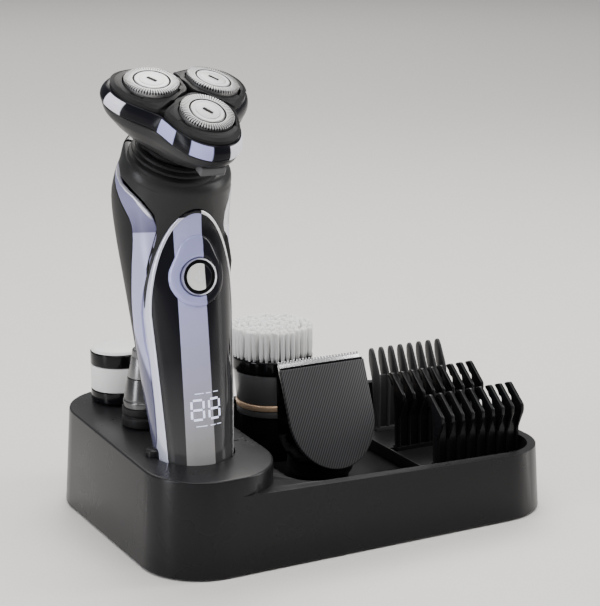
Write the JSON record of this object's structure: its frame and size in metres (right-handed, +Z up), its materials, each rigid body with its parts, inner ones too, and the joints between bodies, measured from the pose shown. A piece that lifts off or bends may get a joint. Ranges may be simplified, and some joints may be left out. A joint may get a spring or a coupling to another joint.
{
  "type": "rotary shaver with stand",
  "caption": "Rotary shaver with three cutters, standing in a charging stand that also holds a nose trimmer, a detail head, a brush, a clipper head and guide combs.",
  "frame": {"origin": "under the middle of the whole set, on the surface that the stand rests on", "axes": "+X to the right along the stand, towards the combs; -Y the front of the stand and of the shaver; +Z up"},
  "size_m": [0.1674, 0.116, 0.1733],
  "materials": {
    "shell": "satin",
    "rubber": "matte",
    "trim": "lilac plated gloss",
    "gloss": "gloss",
    "chrome": "polished",
    "steel": "satin",
    "light": "lit display",
    "board": "solder mask",
    "white": "satin",
    "gold": "satin",
    "gear": "matte"
  },
  "bodies": {
    "stand": {"stand_shell": "shell", "base_plate": "rubber", "foot_1": "rubber", "foot_2": "rubber", "foot_3": "rubber", "foot_4": "rubber", "stand_circuit": "board", "charge_pin": "steel", "stand_jack": "steel", "comb_rack": "rubber"},
    "handle": {"front_shell": "shell", "rear_shell": "rubber", "side_trim_left": "trim", "side_trim_right": "trim", "panel_bezel": "chrome", "front_panel": "gloss", "display": "light", "button_ring": "chrome", "bottom_cap": "rubber", "charge_port": "steel", "battery": "gold", "circuit_board": "board", "motor": "steel", "neck_collar": "rubber"},
    "power_button": {"power_button": "chrome"},
    "motor_shaft": {"motor_shaft": "steel"},
    "swivel": {"swivel_ring": "rubber"},
    "head_base": {"head_bowl": "shell"},
    "release_tab": {"release_tab": "gloss"},
    "centre_gear": {"centre_gear": "gear"},
    "drive_gear_1": {"drive_gear_1": "gear"},
    "drive_gear_2": {"drive_gear_2": "gear"},
    "drive_gear_3": {"drive_gear_3": "gear"},
    "cutter_unit": {"cutter_frame": "shell", "accent_band": "trim"},
    "cutter_1": {"cutter_cap_1": "steel"},
    "cutter_2": {"cutter_cap_2": "steel"},
    "cutter_3": {"cutter_cap_3": "steel"},
    "rotor_1": {"rotor_1": "steel"},
    "rotor_2": {"rotor_2": "steel"},
    "rotor_3": {"rotor_3": "steel"},
    "nose_trimmer": {"trimmer_collar": "rubber", "trimmer_body": "shell", "trimmer_tip": "steel"},
    "trimmer_cutter": {"trimmer_cutter": "steel"},
    "detail_head": {"cap_body": "white", "cap_band_upper": "gloss", "cap_band_lower": "gloss"},
    "brush": {"brush_coupling": "steel", "brush_gold_ring": "gold"},
    "brush_head": {"brush_ring": "gloss", "brush_bristles": "white"},
    "clipper": {"clipper_cover": "shell", "clipper_housing": "rubber", "clipper_fixed_blade": "steel", "clipper_coupling": "rubber"},
    "clipper_blade": {"clipper_moving_blade": "steel"},
    "comb_short": {"comb_short": "rubber"},
    "comb_medium": {"comb_medium": "rubber"},
    "comb_long": {"comb_long": "rubber"}
  },
  "joints": [
    {"name": "shaver_lift", "type": "slide", "parent": "stand", "child": "handle", "axis": [0, 0.1392, 0.9903], "range_m": [0, 0.06]},
    {"name": "power_button_press", "type": "slide", "parent": "handle", "child": "power_button", "axis": [0, 0.9903, -0.1392], "range_m": [0, 0.001], "stiffness_N_per_m": 300},
    {"name": "motor_spin", "type": "hinge", "parent": "handle", "child": "motor_shaft", "pos_m": [-0.05574, -0.0269, 0.16685], "axis": [0.0593, -0.425, 0.9032], "continuous": true},
    {"name": "head_tilt", "type": "hinge", "parent": "handle", "child": "swivel", "pos_m": [-0.05716, -0.0167, 0.14517], "axis": [0.9979, 0.0489, -0.0425], "range_deg": [-4, 4], "stiffness_Nm_per_rad": 0.5},
    {"name": "head_lift", "type": "slide", "parent": "swivel", "child": "head_base", "axis": [0.0593, -0.425, 0.9032], "range_m": [0, 0.03]},
    {"name": "release_tab_press", "type": "slide", "parent": "head_base", "child": "release_tab", "axis": [-0.0261, 0.9039, 0.427], "range_m": [0, 0.001], "stiffness_N_per_m": 300},
    {"name": "centre_gear_spin", "type": "hinge", "parent": "head_base", "child": "centre_gear", "pos_m": [-0.05657, -0.02095, 0.15421], "axis": [0.0593, -0.425, 0.9032], "continuous": true},
    {"name": "cutter_unit_lift", "type": "slide", "parent": "head_base", "child": "cutter_unit", "axis": [0.0593, -0.425, 0.9032], "range_m": [0, 0.015]},
    {"name": "drive_gear_spin_1", "type": "hinge", "parent": "head_base", "child": "drive_gear_1", "pos_m": [-0.05614, -0.03389, 0.14942], "axis": [0.0593, -0.425, 0.9032], "continuous": true},
    {"name": "cutter_flex_1", "type": "hinge", "parent": "cutter_unit", "child": "cutter_1", "pos_m": [-0.0554, -0.03916, 0.16062], "axis": [0.9979, 0.0489, -0.0425], "range_deg": [-3, 3], "stiffness_Nm_per_rad": 0.02},
    {"name": "rotor_spin_1", "type": "hinge", "parent": "cutter_1", "child": "rotor_1", "pos_m": [-0.0554, -0.03916, 0.16062], "axis": [0.0619, -0.5276, 0.8472], "continuous": true},
    {"name": "drive_gear_spin_2", "type": "hinge", "parent": "head_base", "child": "drive_gear_2", "pos_m": [-0.0448, -0.01466, 0.15772], "axis": [0.0593, -0.425, 0.9032], "continuous": true},
    {"name": "cutter_flex_2", "type": "hinge", "parent": "cutter_unit", "child": "cutter_2", "pos_m": [-0.04406, -0.01993, 0.16892], "axis": [-0.5216, 0.7583, 0.3911], "range_deg": [-3, 3], "stiffness_Nm_per_rad": 0.02},
    {"name": "rotor_spin_2", "type": "hinge", "parent": "cutter_2", "child": "rotor_2", "pos_m": [-0.04406, -0.01993, 0.16892], "axis": [0.1582, -0.3645, 0.9177], "continuous": true},
    {"name": "drive_gear_spin_3", "type": "hinge", "parent": "head_base", "child": "drive_gear_3", "pos_m": [-0.06856, -0.01583, 0.15873], "axis": [0.0593, -0.425, 0.9032], "continuous": true},
    {"name": "cutter_flex_3", "type": "hinge", "parent": "cutter_unit", "child": "cutter_3", "pos_m": [-0.06783, -0.0211, 0.16993], "axis": [-0.4763, -0.8072, -0.3486], "range_deg": [-3, 3], "stiffness_Nm_per_rad": 0.02},
    {"name": "rotor_spin_3", "type": "hinge", "parent": "cutter_3", "child": "rotor_3", "pos_m": [-0.06783, -0.0211, 0.16993], "axis": [-0.0435, -0.3743, 0.9263], "continuous": true},
    {"name": "nose_trimmer_lift", "type": "slide", "parent": "stand", "child": "nose_trimmer", "axis": [0, 0, 1], "range_m": [0, 0.014]},
    {"name": "trimmer_cutter_spin", "type": "hinge", "parent": "nose_trimmer", "child": "trimmer_cutter", "pos_m": [-0.05934, 0.01, 0.0383], "axis": [0, 0, 1], "continuous": true},
    {"name": "detail_head_lift", "type": "slide", "parent": "stand", "child": "detail_head", "axis": [0, 0, 1], "range_m": [0, 0.03]},
    {"name": "brush_lift", "type": "slide", "parent": "stand", "child": "brush", "axis": [0, 0, 1], "range_m": [0, 0.04]},
    {"name": "brush_spin", "type": "hinge", "parent": "brush", "child": "brush_head", "pos_m": [0.00106, 0.024, 0.031], "axis": [0, 0, 1], "continuous": true},
    {"name": "clipper_lift", "type": "slide", "parent": "stand", "child": "clipper", "axis": [0, 0, 1], "range_m": [0, 0.04]},
    {"name": "clipper_blade_stroke", "type": "slide", "parent": "clipper", "child": "clipper_blade", "axis": [1, 0, 0], "range_m": [-0.0012, 0.0012]},
    {"name": "comb_short_lift", "type": "slide", "parent": "stand", "child": "comb_short", "axis": [0, 0, 1], "range_m": [0, 0.035]},
    {"name": "comb_medium_lift", "type": "slide", "parent": "stand", "child": "comb_medium", "axis": [0, 0, 1], "range_m": [0, 0.035]},
    {"name": "comb_long_lift", "type": "slide", "parent": "stand", "child": "comb_long", "axis": [0, 0, 1], "range_m": [0, 0.035]}
  ],
  "couplings": [
    {"joint": "centre_gear_spin", "follows": "motor_spin", "ratio": 1},
    {"joint": "drive_gear_spin_1", "follows": "motor_spin", "ratio": -0.6},
    {"joint": "rotor_spin_1", "follows": "motor_spin", "ratio": -0.6},
    {"joint": "drive_gear_spin_2", "follows": "motor_spin", "ratio": -0.6},
    {"joint": "rotor_spin_2", "follows": "motor_spin", "ratio": -0.6},
    {"joint": "drive_gear_spin_3", "follows": "motor_spin", "ratio": -0.6},
    {"joint": "rotor_spin_3", "follows": "motor_spin", "ratio": -0.6}
  ]
}
